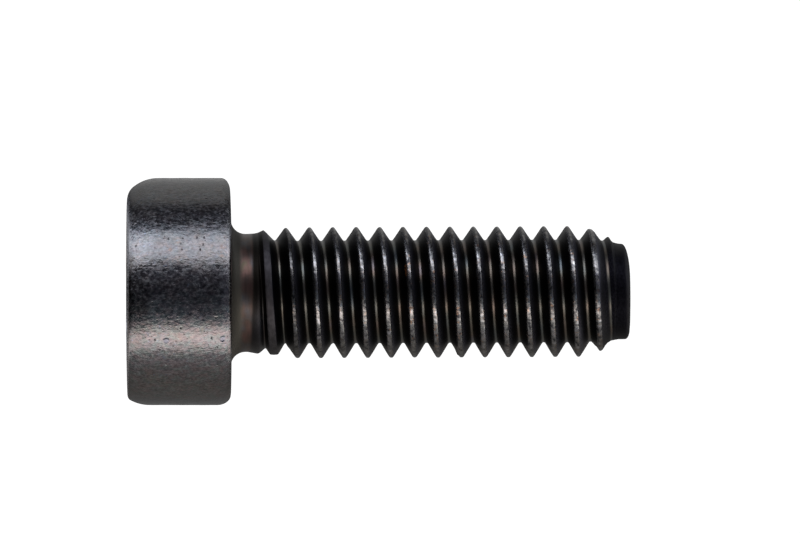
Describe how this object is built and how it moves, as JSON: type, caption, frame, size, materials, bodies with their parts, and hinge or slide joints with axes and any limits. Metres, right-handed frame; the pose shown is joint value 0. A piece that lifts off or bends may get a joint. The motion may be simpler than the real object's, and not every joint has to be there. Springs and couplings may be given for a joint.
{
  "type": "hexalobular socket cap screw",
  "caption": "Cap screw with a round-edged cylindrical head, hexalobular drive socket, short plain neck and right-hand metric thread, for clamping parts to a tapped hole.",
  "frame": {"origin": "centre of the bearing face under the head, on the thread's axis", "axes": "+Z along the thread's axis from the bearing face to the tip; the head hangs below the origin, and the screw stands on its drive face. -Y is the side of the picture's view, and -X is the side that lies uppermost in the picture"},
  "size_m": [0.0068, 0.0068, 0.015],
  "materials": {
    "blackened_steel": "black oxide over steel, grainy on the head, with the thread's crests rubbed to bare metal and faint rust-brown and blue stains"
  },
  "bodies": {
    "root": {"cap_screw": "blackened_steel"}
  },
  "joints": []
}
